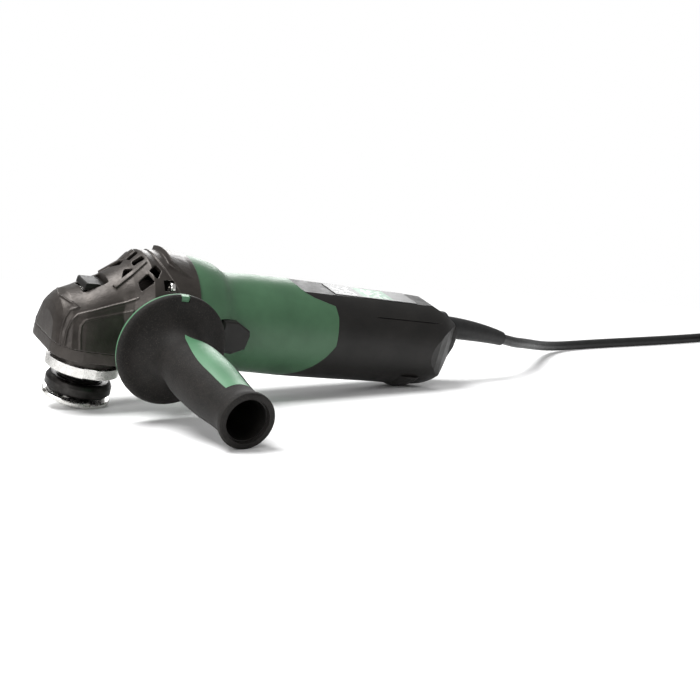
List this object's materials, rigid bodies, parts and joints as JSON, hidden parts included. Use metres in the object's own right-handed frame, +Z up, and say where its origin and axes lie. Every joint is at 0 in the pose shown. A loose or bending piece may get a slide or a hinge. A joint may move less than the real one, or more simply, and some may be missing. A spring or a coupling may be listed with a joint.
{
  "type": "angle grinder",
  "caption": "Corded angle grinder with side handle, lying at rest: cast gear head, spindle with flange and nut, motor, slide switch, lock button, mains cord.",
  "frame": {"origin": "on the floor, under the centre of the tool without its cord, as it lies on its clamping nut, side handle and rear foot", "axes": "+Z up from the floor; +X along the tool towards the cord; the side handle points along -Y and down to the floor"},
  "size_m": [0.74, 0.2777, 0.0989],
  "materials": {
    "cast_head": "dark bronze-grey painted casting, satin",
    "green_plastic": "satin green glass-filled nylon",
    "green_plastic_light": "lighter green nylon, semi-gloss",
    "black_plastic": "fine-grained black nylon",
    "soft_grip": "speckled soft black rubber",
    "bright_steel": "zinc plated, bright",
    "black_steel": "black oxide",
    "hard_steel": "ground and hardened",
    "laminations": "varnished steel sheets",
    "copper": "enamelled copper",
    "brass": "plain",
    "carbon": "graphite",
    "white_plastic": "plain",
    "label": "printed foil",
    "cord_jacket": "smooth black cable sheath",
    "seal_rubber": "nitrile"
  },
  "bodies": {
    "housing": {"gear_housing": "cast_head", "gear_cover": "cast_head", "guard_rim": "bright_steel", "gear_cover_screws": "bright_steel", "gear_housing_screws": "bright_steel", "upper_spindle_bearing": "brass", "lower_spindle_bearing": "hard_steel", "bearing_circlip": "black_steel", "spindle_seal": "seal_rubber", "bearing_plate": "bright_steel", "front_bearing": "hard_steel", "rear_bearing": "hard_steel", "bearing_boot": "seal_rubber", "air_baffle": "black_plastic", "motor_housing": "green_plastic", "stator_core": "laminations", "stator_windings": "copper", "brush_holder_upper": "brass", "brush_holder_lower": "brass", "brush_spring_upper": "bright_steel", "brush_spring_lower": "bright_steel", "rear_cover": "black_plastic", "rear_cover_screws": "bright_steel", "label_plate": "label", "switch_module": "black_plastic", "capacitor": "white_plastic", "terminal_block": "white_plastic", "cord_clamp": "black_plastic", "cord_clamp_screws": "bright_steel", "lock_spring": "bright_steel", "handle_stud": "bright_steel", "handle_core": "green_plastic_light", "handle_tube": "black_plastic", "handle_grip": "soft_grip", "handle_insert": "green_plastic_light", "cord_guard": "seal_rubber", "cord": "cord_jacket", "cord_tail": "cord_jacket", "cord_coil": "cord_jacket", "plug_body": "seal_rubber", "plug_pins": "bright_steel"},
    "spindle_set": {"spindle": "hard_steel", "crown_gear": "hard_steel", "spindle_key": "hard_steel", "inner_flange": "black_steel", "clamping_nut": "bright_steel"},
    "armature": {"pinion": "hard_steel", "pinion_nut": "bright_steel", "armature_shaft": "hard_steel", "armature_core": "laminations", "armature_windings": "copper", "commutator": "brass", "fan": "black_plastic"},
    "lock": {"lock_button": "black_plastic", "lock_pin": "hard_steel"},
    "switch": {"switch_slider": "black_plastic", "switch_rod": "black_plastic"},
    "brush_top": {"brush_upper": "carbon"},
    "brush_bottom": {"brush_lower": "carbon"}
  },
  "joints": [
    {"name": "spindle_spin", "type": "hinge", "parent": "housing", "child": "spindle_set", "pos_m": [-0.11371, 0.0639, 0.06158], "axis": [0.1284, -0.2545, 0.9585], "continuous": true},
    {"name": "armature_spin", "type": "hinge", "parent": "housing", "child": "armature", "pos_m": [-0.11371, 0.0639, 0.06158], "axis": [0.9911, 0, -0.1328], "continuous": true},
    {"name": "lock_press", "type": "slide", "parent": "housing", "child": "lock", "axis": [-0.1284, 0.2545, -0.9585], "range_m": [0, 0.0045], "stiffness_N_per_m": 900, "springref_m": -0.003, "deforming": ["lock_spring"]},
    {"name": "switch_slide", "type": "slide", "parent": "housing", "child": "switch", "axis": [-0.9911, 0, 0.1328], "range_m": [0, 0.008], "stiffness_N_per_m": 250, "springref_m": -0.004},
    {"name": "brush_upper_slide", "type": "slide", "parent": "housing", "child": "brush_top", "axis": [0.1284, -0.2545, 0.9585], "range_m": [0, 0.004], "stiffness_N_per_m": 300, "springref_m": -0.008, "deforming": ["brush_spring_upper"]},
    {"name": "brush_lower_slide", "type": "slide", "parent": "housing", "child": "brush_bottom", "axis": [-0.1284, 0.2545, -0.9585], "range_m": [0, 0.004], "stiffness_N_per_m": 300, "springref_m": -0.008, "deforming": ["brush_spring_lower"]}
  ],
  "couplings": [
    {"joint": "armature_spin", "follows": "spindle_spin", "ratio": 3.3636}
  ]
}
